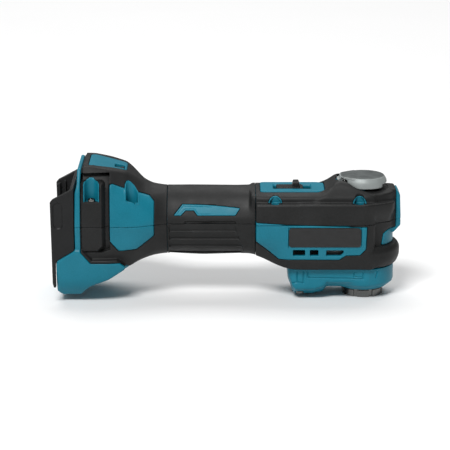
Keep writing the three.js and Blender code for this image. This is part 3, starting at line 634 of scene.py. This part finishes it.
def lever(x, y, z):
    a = np.abs(y)
    radius = np.hypot(x - SPINDLE_X, y)
    slant = (radius - 19.6 + (z - 99.4) * 0.62) / 1.18
    disc = all_of(0.9, radius - LEVER["r"], slant, z - 103.5, 94.8 - z)
    dish = all_of(0.8, radius - 16.4, z - 101.2)
    disc = cut(disc, dish, 0.5)
    grip = all_of(1.0, 129.5 - x, z - 97.6, a - 12)
    disc = cut(disc, grip, 0.8)
    u, w = x - LEVER["x"], z - LEVER["z"]
    turning = np.hypot(np.minimum(u, 0), w) - 4.8
    tab = all_of(0.8, convex(x, a, LEVER_TAB, 1.0), turning, z - 103.5, 1.2 - w)
    disc = smin(disc, tab, 0.6)
    cam = smax(outline(u, w, cam_outline(), 0.2), a - 5, 0.3)
    block = box(u, a, w, (-3.4, 4), (-6.3, 6.3), (-4, 3.4))
    stem = box(u, a, w, (-2, 6), (-6.3, 6.3), (1, 3.4))
    body = any_of(0.4, disc, cam, block, stem)
    ears = box(u, a, w, (-9, 3.4), (6.5, 10.1), (-9, 3.1), 0.3)
    return cut(cut(body, ears, 0.3), np.hypot(u, w) - 2.2, 0.2)


def lever_pin(x, y, z):
    radius = np.hypot(x - LEVER["x"], z - LEVER["z"])
    return all_of(0.3, radius - 2.0, np.abs(y) - 9.6, radius + np.abs(y) - 11.1)


# ---- Screws --------------------------------------------------------------------------------------
def screw(x, y, z):
    """A pan-head screw at the origin, head up, with a six-lobed socket and a threaded shank."""
    radius = np.hypot(x, y)
    angle = np.arctan2(y, x)
    head = all_of(0.5, radius - 3.2, span(z, 0, 2.6), np.hypot(radius, z + 4.6) - 7.3)
    socket = smax(radius - 1.45 - 0.25 * np.cos(6 * angle), 1.2 - z, 0.2)
    pitch = 1.6
    thread = 0.3 * np.abs(np.mod(z / pitch - angle / (2 * math.pi), 1.0) - 0.5) * 2
    shank = all_of(0.3, radius - 1.75 + thread, span(z, -26.2, 0.2), radius - 1.8 - (z + 26.2))
    return cut(smin(head, shank, 0.3), socket, 0.2)


# ---- Meshing ---------------------------------------------------------------------------------------
CORNERS = [(i, j, k) for i in (0, 1) for j in (0, 1) for k in (0, 1)]
CELL_EDGES = [(a, b) for a in range(8) for b in range(a + 1, 8)
              if sum(abs(CORNERS[a][n] - CORNERS[b][n]) for n in range(3)) == 1]


def sample(field, low, high, step):
    """The field's values on a grid that reaches two steps past the given box."""
    axes = [np.arange(lo - 2 * step, hi + 2.5 * step, step) for lo, hi in zip(low, high)]
    x, y, z = np.meshgrid(*axes, indexing="ij", sparse=True)
    values = np.broadcast_to(field(x, y, z), [len(a) for a in axes])
    return axes, np.array(values, np.float32)


def surface_cells(axes, values, step):
    """One point in each grid cell that the surface passes through."""
    shape = [n - 1 for n in values.shape]
    parts = [values[i:i + shape[0], j:j + shape[1], k:k + shape[2]] for i, j, k in CORNERS]
    count = sum((p < 0).astype(np.int8) for p in parts)
    cells = np.nonzero((count > 0) & (count < 8))
    corners = np.stack([p[cells] for p in parts], 1).astype(float)
    total = np.zeros((len(cells[0]), 3))
    hits = np.zeros(len(cells[0]))
    for a, b in CELL_EDGES:
        va, vb = corners[:, a], corners[:, b]
        crossing = (va < 0) != (vb < 0)
        t = np.where(crossing, va / np.where(crossing, va - vb, 1), 0)[:, None]
        pa, pb = np.array(CORNERS[a], float), np.array(CORNERS[b], float)
        total += np.where(crossing[:, None], pa + t * (pb - pa), 0)
        hits += crossing
    origin = np.stack([axis[index] for axis, index in zip(axes, cells)], 1)
    ids = np.full(shape, -1, np.int64)
    ids[cells] = np.arange(len(cells[0]))
    return origin + step * total / hits[:, None], ids


def surface_quads(values, ids):
    """A quad round each grid edge that crosses the surface, facing out."""
    inside = values < 0
    quads = []
    for axis in range(3):
        b, c = (axis + 1) % 3, (axis + 2) % 3
        near = np.moveaxis(inside, (axis, b, c), (0, 1, 2))
        lookup = np.moveaxis(ids, (axis, b, c), (0, 1, 2))
        change = near[:-1, 1:-1, 1:-1] != near[1:, 1:-1, 1:-1]
        i, j, k = np.nonzero(change)
        ring = np.stack([lookup[i, j, k], lookup[i, j + 1, k], lookup[i, j + 1, k + 1],
                         lookup[i, j, k + 1]], 1)
        outward = near[:-1, 1:-1, 1:-1][i, j, k]
        quads.append(np.where(outward[:, None], ring, ring[:, ::-1]))
    return np.concatenate(quads)


def gradient(field, p, reach=0.04):
    g = []
    for axis in range(3):
        step = np.zeros(3)
        step[axis] = reach
        ahead, behind = p + step, p - step
        g.append(field(*ahead.T) - field(*behind.T))
    return np.stack(g, 1) / (2 * reach)


def largest_part(points, quads):
    """Leaves out anything that isn't joined to the largest part of the surface."""
    label = np.arange(len(points))
    while True:
        lowest = label[quads].min(1)
        new = label.copy()
        for corner in range(4):
            np.minimum.at(new, quads[:, corner], lowest)
        new = new[new]
        if np.array_equal(new, label):
            break
        label = new
    main = np.bincount(label[quads[:, 0]]).argmax()
    kept = label == main
    index = np.cumsum(kept) - 1
    return points[kept], index[quads[kept[quads[:, 0]]]]


def pulled_on(points, field, reach):
    """The points after a few Newton steps onto the surface, none longer than reach."""
    for _ in range(3):
        slope = gradient(field, points)
        move = field(*points.T) / np.maximum(np.sum(slope * slope, 1), 0.05)
        points = points - np.clip(move[:, None] * slope, -reach, reach)
    return points


def mesh_of(name, field, low, high, step):
    """The surface of a field inside a box, as a smooth quad mesh in metres."""
    step = step * COARSE
    axes, values = sample(field, low, high, step)
    points, ids = surface_cells(axes, values, step)
    points, quads = largest_part(points, surface_quads(values, ids))
    points = pulled_on(points, field, 0.45 * step)
    normals = gradient(field, points)
    normals /= np.maximum(np.linalg.norm(normals, axis=1), 1e-6)[:, None]
    mesh = bpy.data.meshes.new(name)
    mesh.vertices.add(len(points))
    mesh.vertices.foreach_set("co", (points * MM).ravel())
    mesh.loops.add(quads.size)
    mesh.loops.foreach_set("vertex_index", quads.ravel())
    mesh.polygons.add(len(quads))
    mesh.polygons.foreach_set("loop_start", np.arange(0, quads.size, 4))
    mesh.update(calc_edges=True)
    mesh.shade_smooth()
    mesh.normals_split_custom_set_from_vertices(normals.tolist())
    return mesh


def add(name, mesh, material, body, replaced, place=None):
    """A visible piece that rides on a body, moved to a place and turned if one is given."""
    piece = bpy.data.objects.new(name, mesh)
    bpy.context.scene.collection.objects.link(piece)
    if place:
        piece.location = Vector(place[0]) * MM
        piece.rotation_euler = place[1]
    if not mesh.materials:
        mesh.materials.append(material)
    bpy.context.view_layer.update()
    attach(piece, body)
    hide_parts(*replaced)
    return piece


# ---- Materials ---------------------------------------------------------------------------------------
def linear(*rgb):
    """The shader's colour for a screen colour given from 0 to 255."""
    return [((c / 255 + 0.055) / 1.055) ** 2.4 if c > 10 else c / 255 / 12.92 for c in rgb] + [1.0]


class Surface:
    """A material under construction: a Principled shader and the textures that feed it."""

    def __init__(self, name):
        self.material = bpy.data.materials.new(name)
        self.material.use_nodes = True
        self.tree = self.material.node_tree
        self.shader = self.tree.nodes["Principled BSDF"]
        self.place = self.tree.nodes.new("ShaderNodeTexCoord").outputs["Object"]

    def node(self, kind, **values):
        made = self.tree.nodes.new(kind)
        for key, value in values.items():
            setattr(made, key, value)
        return made

    def link(self, source, target):
        self.tree.links.new(source, target)

    def noise(self, size_mm, detail=2.0, stretch=(1, 1, 1)):
        """Noise whose grains are about size_mm across, drawn out along an axis by stretch."""
        mapping = self.node("ShaderNodeMapping")
        mapping.inputs["Scale"].default_value = [1 / s for s in stretch]
        self.link(self.place, mapping.inputs["Vector"])
        made = self.node("ShaderNodeTexNoise")
        made.inputs["Scale"].default_value = 1000 / size_mm
        made.inputs["Detail"].default_value = detail
        self.link(mapping.outputs["Vector"], made.inputs["Vector"])
        return made.outputs["Fac"]

    def fit(self, value, low, high, from_low=0.3, from_high=0.7):
        made = self.node("ShaderNodeMapRange")
        numbers = (from_low, from_high, low, high)
        for key, number in zip(("From Min", "From Max", "To Min", "To Max"), numbers):
            made.inputs[key].default_value = number
        self.link(value, made.inputs["Value"])
        return made.outputs["Result"]

    def blend(self, factor, a, b, kind="MIX"):
        made = self.node("ShaderNodeMix", data_type="RGBA", blend_type=kind)
        for key, value in (("A", a), ("B", b)):
            socket = next(s for s in made.inputs if s.name == key and s.type == "RGBA")
            if isinstance(value, list):
                socket.default_value = value
            else:
                self.link(value, socket)
        self.link(factor, made.inputs["Factor"])
        return next(s for s in made.outputs if s.type == "RGBA")

    def edges(self, start=0.52, end=0.6):
        """1 on the sharpest outer edges and 0 on flat ground."""
        point = self.node("ShaderNodeNewGeometry").outputs["Pointiness"]
        return self.fit(point, 0.0, 1.0, start, end)

    def product(self, a, b):
        made = self.node("ShaderNodeMath", operation="MULTIPLY")
        for socket, value in zip(made.inputs, (a, b)):
            if isinstance(value, float):
                socket.default_value = value
            else:
                self.link(value, socket)
        return made.outputs["Value"]

    def bump(self, height, depth_mm, before=None):
        made = self.node("ShaderNodeBump")
        made.inputs["Strength"].default_value = 1.0
        made.inputs["Distance"].default_value = depth_mm * MM
        self.link(height, made.inputs["Height"])
        if before:
            self.link(before, made.inputs["Normal"])
        self.link(made.outputs["Normal"], self.shader.inputs["Normal"])
        return made.outputs["Normal"]

    def set(self, **values):
        for key, value in values.items():
            self.shader.inputs[key.replace("_", " ")].default_value = value


def moulded(name, colour, roughness, grain_mm, grain_depth, wear_and_highlight_strength=0.35, specular=0.45):
    """Moulded plastic or elastomer: fine grain, faint clouding, convex edges lighter as rubbed wear and as
    painted highlight.
    """
    s = Surface(name)
    dark = [c * 0.86 for c in colour[:3]] + [1.0]
    light = [min(1.0, c * 1.12 + 0.004) for c in colour[:3]] + [1.0]
    # Pale colour for the light flecks of the grain and for the lightened edges, which are partly painted
    # highlight.
    flecks_wear_and_highlight = [min(1.0, c * 1.5 + 0.02) for c in colour[:3]] + [1.0]
    clouds = s.noise(38, 4)
    speckle = s.noise(grain_mm * 2.5, 2)
    base = s.blend(s.fit(clouds, 0.0, 1.0), dark, light)
    base = s.blend(s.fit(speckle, 0.0, 0.22), base, flecks_wear_and_highlight)
    # Lightened convex edges: partly rubbed wear, partly a painted highlight along ridges and creases.
    wear_and_highlight = s.product(s.edges(), s.fit(s.noise(5, 3), 0.15 * wear_and_highlight_strength, wear_and_highlight_strength))
    s.link(s.blend(wear_and_highlight, base, flecks_wear_and_highlight), s.shader.inputs["Base Color"])
    smudges = s.fit(s.noise(14, 5), roughness - 0.06, roughness + 0.07)
    s.link(smudges, s.shader.inputs["Roughness"])
    fine = s.bump(s.noise(grain_mm, 2), grain_depth)
    s.bump(s.noise(11, 1), 0.012, fine)
    s.set(Specular_IOR_Level=specular)
    return s.material


def metal(name, colour, roughness, lines=(1, 1, 1), line_mm=0.4, depth=0.004, metallic=1.0):
    """Machined or cast metal: fine tool lines, patches of duller surface, convex edges brighter as wear and
    as painted highlight.
    """
    s = Surface(name)
    dull = [c * 0.72 for c in colour[:3]] + [1.0]
    edge_wear_and_highlight = [min(1.0, c * 1.25 + 0.03) for c in colour[:3]] + [1.0]
    patches = s.noise(9, 4)
    base = s.blend(s.fit(patches, 0.0, 1.0), dull, colour)
    # Brightened convex edges: partly worn metal, partly a painted highlight.
    wear_and_highlight = s.product(s.edges(0.51, 0.58), s.fit(s.noise(3, 3), 0.2, 0.9))
    s.link(s.blend(wear_and_highlight, base, edge_wear_and_highlight), s.shader.inputs["Base Color"])
    brushed = s.noise(line_mm, 3, lines)
    s.link(s.fit(brushed, roughness - 0.07, roughness + 0.1), s.shader.inputs["Roughness"])
    s.bump(brushed, depth)
    s.set(Metallic=metallic)
    return s.material


def silver_with_painted_shade(name, rim, face, shade_from_mm):
    """Silver paint with small pits in the casting; the flat face above a height takes a darker colour as
    painted shade, and edges are lightened as wear and painted highlight.
    """
    s = Surface(name)
    parts = s.node("ShaderNodeSeparateXYZ")
    s.link(s.place, parts.inputs[0])
    # Painted shade: above this height the flat top face takes the darker face colour instead of the silver.
    shade_mask = s.fit(parts.outputs["Z"], 0.0, 1.0, (shade_from_mm - 0.15) * MM, (shade_from_mm + 0.15) * MM)
    base = s.blend(shade_mask, rim, face)
    cloudy = s.blend(s.fit(s.noise(7, 4), 0.0, 0.35), base, [c * 0.7 for c in rim[:3]] + [1.0])
    # Lightened convex edges: partly rubbed wear, partly a painted highlight.
    wear_and_highlight = s.product(s.edges(0.51, 0.57), s.fit(s.noise(2.5, 3), 0.1, 0.8))
    s.link(s.blend(wear_and_highlight, cloudy, linear(205, 208, 207)), s.shader.inputs["Base Color"])
    s.link(s.fit(s.noise(5, 4), 0.46, 0.6), s.shader.inputs["Roughness"])
    s.bump(s.noise(0.7, 2), 0.012)
    s.set(Metallic=0.3, Specular_IOR_Level=0.35)
    return s.material


def winding_wire(name):
    """Enamelled copper wire in strands."""
    s = Surface(name)
    wave = s.node("ShaderNodeTexWave", wave_type="BANDS", bands_direction="X")
    wave.inputs["Scale"].default_value = 420
    wave.inputs["Distortion"].default_value = 2.0
    s.link(s.place, wave.inputs["Vector"])
    strands = s.fit(wave.outputs["Fac"], 0.0, 1.0, 0.1, 0.9)
    s.link(s.blend(strands, linear(82, 40, 18), linear(190, 112, 62)), s.shader.inputs["Base Color"])
    s.link(s.fit(s.noise(2, 3), 0.25, 0.5), s.shader.inputs["Roughness"])
    s.bump(wave.outputs["Fac"], 0.15)
    s.set(Metallic=0.75)
    return s.material


def circuit_board(name):
    """A green board with lighter lines on it."""
    s = Surface(name)
    tracks = s.node("ShaderNodeTexVoronoi", distance="MANHATTAN")
    tracks.inputs["Scale"].default_value = 700
    s.link(s.place, tracks.inputs["Vector"])
    lines = s.fit(tracks.outputs["Distance"], 0.0, 1.0, 0.35, 0.4)
    s.link(s.blend(lines, linear(14, 70, 38), linear(40, 118, 66)), s.shader.inputs["Base Color"])
    s.link(s.fit(s.noise(3, 3), 0.3, 0.5), s.shader.inputs["Roughness"])
    s.bump(lines, 0.03)
    return s.material


def clear_lens(name):
    """A slightly cloudy clear moulding."""
    s = Surface(name)
    s.link(s.blend(s.noise(2, 2), linear(200, 206, 206), linear(238, 242, 242)),
           s.shader.inputs["Base Color"])
    s.link(s.fit(s.noise(1.2, 3), 0.08, 0.2), s.shader.inputs["Roughness"])
    s.bump(s.noise(0.8, 1), 0.02)
    s.set(Transmission_Weight=0.55, IOR=1.49)
    return s.material


def printed_foil(name):
    """A plain dark foil label with a faint sheen and scuffs."""
    s = Surface(name)
    scuffs = s.noise(1.2, 6, (6, 1, 1))
    s.link(s.blend(s.fit(scuffs, 0.0, 0.4, 0.5, 0.8), linear(9, 10, 11), linear(24, 25, 26)),
           s.shader.inputs["Base Color"])
    s.link(s.fit(s.noise(4, 4), 0.36, 0.52), s.shader.inputs["Roughness"])
    s.bump(s.noise(0.25, 2), 0.006)
    return s.material


TEAL = moulded("teal_plastic", linear(0, 106, 126), 0.42, 0.32, 0.010, 0.22, 0.25)
GRIP = moulded("soft_grip", linear(15, 16, 16), 0.54, 0.42, 0.03, 0.22, 0.27)
BLACK = moulded("black_plastic", linear(12, 13, 14), 0.48, 0.3, 0.012, 0.25, 0.25)
# The first colour is the silver of the rim, the second is painted shade for the flat top face.
LEVER_SILVER_AND_SHADE = silver_with_painted_shade("lever_metal", linear(150, 156, 155), linear(66, 71, 71), 103.2)
STEEL = metal("steel", linear(112, 112, 110), 0.2, (1, 1, 14), 0.35)
CASE = metal("case_metal", linear(178, 180, 180), 0.5, (1, 1, 1), 0.7, 0.02)
BEARING = metal("bearing_steel", linear(190, 191, 190), 0.2, (1, 1, 8), 0.3)
COPPER = winding_wire("copper")
BRASS = metal("brass", linear(198, 166, 92), 0.3, (1, 8, 8), 0.3)
BOARD = circuit_board("board")
SEAL = moulded("seal_rubber", linear(22, 22, 22), 0.7, 0.35, 0.02, 0.2, 0.35)
CLEAR = clear_lens("clear")
LABEL = printed_foil("label")
RED = moulded("lead_red", linear(170, 36, 34), 0.45, 0.4, 0.01)
WHITE = moulded("lead_white", linear(214, 213, 208), 0.45, 0.4, 0.01)
SLOT_MATERIAL = {
    "teal_plastic": TEAL, "soft_grip": GRIP, "black_plastic": BLACK, "lever_metal": LEVER_SILVER_AND_SHADE,
    "steel": STEEL, "case_metal": CASE, "bearing_steel": BEARING, "copper": COPPER,
    "brass": BRASS, "board": BOARD, "seal_rubber": SEAL, "clear": CLEAR, "label": LABEL,
    "lead_red": RED, "lead_white": WHITE,
}
SLOT_OF = {row["node"]: row["material_slot"] for row in frame["record"]["subparts"]}


def look(node, field, low, high, step, body="housing"):
    """A finished piece that stands for one CAD node and takes that node's material."""
    slot = SLOT_OF[node]
    mesh = mesh_of(node, field, low, high, step)
    return add(node + "_finished", mesh, SLOT_MATERIAL[slot], body, [node])


# ---- The pieces ------------------------------------------------------------------------------------------
look("housing_upper", upper(housing), (-128, -40, 66.8), (148, 40, 117), 0.8)
look("housing_lower", lower(housing), (-144, -40, 4), (148, 40, 67.2), 0.8)
REGIONS = {"rear": (-124.0, -50.3), "grip": (-50.05, 24.15), "front": (24.4, 149.0)}
for region, (x0, x1) in REGIONS.items():
    part = between(soft_layer, x0, x1)
    look(f"{region}_overmold_upper", upper(part), (x0, -40, 66.8), (x1, 40, 117), 0.7)
    look(f"{region}_overmold_lower", lower(part), (x0, -40, 18), (x1, 40, 67.2), 0.7)
look("accent_right", accent, (-46, -32, 72), (13, -14, 84), 0.4)
look("accent_left", accent, (-46, 14, 72), (13, 32, 84), 0.4)
look("switch_plate", switch_plate, (28, -17, 89.4), (83, 17, 93.2), 0.4)
look("dial_plate", dial_plate, (-116, -19, 106), (-84, 19, 117.5), 0.4)
look("name_plate", name_plate, (51.8, -33.3, 48.2), (112.9, -32.3, 65.1), 0.3)
look("battery_rails", battery_rails, (-147.6, -38.8, 14), (-127, 38.8, 105), 0.6)
look("terminal_block", terminal_block, (-142.2, -16.2, 49.8), (-120.8, 16.2, 80.2), 0.45)
look("terminal_positive", terminal(-10), (-141.7, -10.6, 51.8), (-134.1, -9.4, 70.2), 0.2)
look("terminal_negative", terminal(10), (-141.7, 9.4, 51.8), (-134.1, 10.6, 70.2), 0.2)
look("switch_button", switch_button, (41, -9.2, 85.4), (66.2, 9.2, 98), 0.3, "switch")
look("dial_wheel", dial_wheel, (-93.7, -15.0, 92.6), (-86.3, 3.8, 111.4), 0.22, "dial")
look("gear_cover", gear_cover, (51, -26.5, 2.8), (142.5, 26.5, 27.4), 0.5)
look("led_lens", led_lens, (80, -7.2, 5), (85.2, 7.2, 10.8), 0.25)
look("tool_holder", tool_holder, (98.2, -17.8, -0.2), (133.8, 17.8, 8.9), 0.35, "output")
look("lever_pin", lever_pin, (97, -9.8, 97), (102, 9.8, 102), 0.25, "lever")
look("lever", lever, (93, -19.7, 94.2), (135.7, 19.7, 103.7), 0.4, "lever")

screw_mesh = mesh_of("screw", screw, (-3.4, -3.4, -26.4), (3.4, 3.4, 2.8), 0.22)
for word, sign in (("right", -1), ("left", 1)):
    for place, c in CHANNELS.items():
        node = f"{place}_screw_{word}"
        seat = ((c["x"], sign * c["y"], c["floor"] + 0.3), (0, 0, 0.3 * sign))
        add(node + "_finished", screw_mesh, STEEL, "housing", [node], seat)
    node = f"cover_screw_{word}"
    seat = ((COVER_SCREW["x"], sign * COVER_SCREW["y"], 6.2), (math.pi, 0, 0.2 * sign))
    add(node + "_finished", screw_mesh, STEEL, "housing", [node], seat)

for node, piece in frame["nodes"].items():
    for material_slot in piece.material_slots:
        material_slot.link = "OBJECT"
        material_slot.material = SLOT_MATERIAL[SLOT_OF[node]]


# ---- Floor, light and camera -----------------------------------------------------------------------------
def floor():
    """A plain pale floor, much wider than the view."""
    s = Surface("floor")
    s.link(s.blend(s.noise(400, 2), linear(236, 236, 236), linear(240, 240, 240)),
           s.shader.inputs["Base Color"])
    s.set(Roughness=0.8)
    bpy.ops.mesh.primitive_plane_add(size=40)
    plane = bpy.context.object
    plane.name = "floor"
    plane.data.materials.append(s.material)


def softbox(name, place, target, size, watts):
    """A rectangular area light at a place, facing a target."""
    data = bpy.data.lights.new(name, "AREA")
    data.shape = "RECTANGLE"
    data.size, data.size_y = size
    data.energy = watts
    lamp = bpy.data.objects.new(name, data)
    lamp.location = place
    lamp.rotation_euler = (Vector(target) - Vector(place)).to_track_quat("-Z", "Y").to_euler()
    bpy.context.scene.collection.objects.link(lamp)


def camera():
    """A long lens on the right side of the tool, 15 degrees above it."""
    target = Vector((-0.0015, 0.0, 0.059))
    distance, elevation = 1.757, math.radians(15)
    data = bpy.data.cameras.new("camera")
    data.lens = 164.9
    data.clip_end = 100
    made = bpy.data.objects.new("camera", data)
    away = Vector((0, -math.cos(elevation), math.sin(elevation)))
    made.location = target + distance * away
    made.rotation_euler = (-away).to_track_quat("-Z", "Y").to_euler()
    bpy.context.scene.collection.objects.link(made)
    bpy.context.scene.camera = made


def world(strength):
    made = bpy.data.worlds.new("studio")
    made.use_nodes = True
    background = made.node_tree.nodes["Background"]
    background.inputs["Color"].default_value = (1, 1, 1, 1)
    background.inputs["Strength"].default_value = strength
    bpy.context.scene.world = made


floor()
camera()
world(0.2)
softbox("overhead", (0.0, 2.0, 3.2), (0, 1.6, 0), (4.5, 3.0), 105)
softbox("key", (-0.7, -1.9, 2.6), (0, 0, 0.06), (1.2, 0.9), 96)
bpy.context.scene.view_settings.view_transform = "Standard"
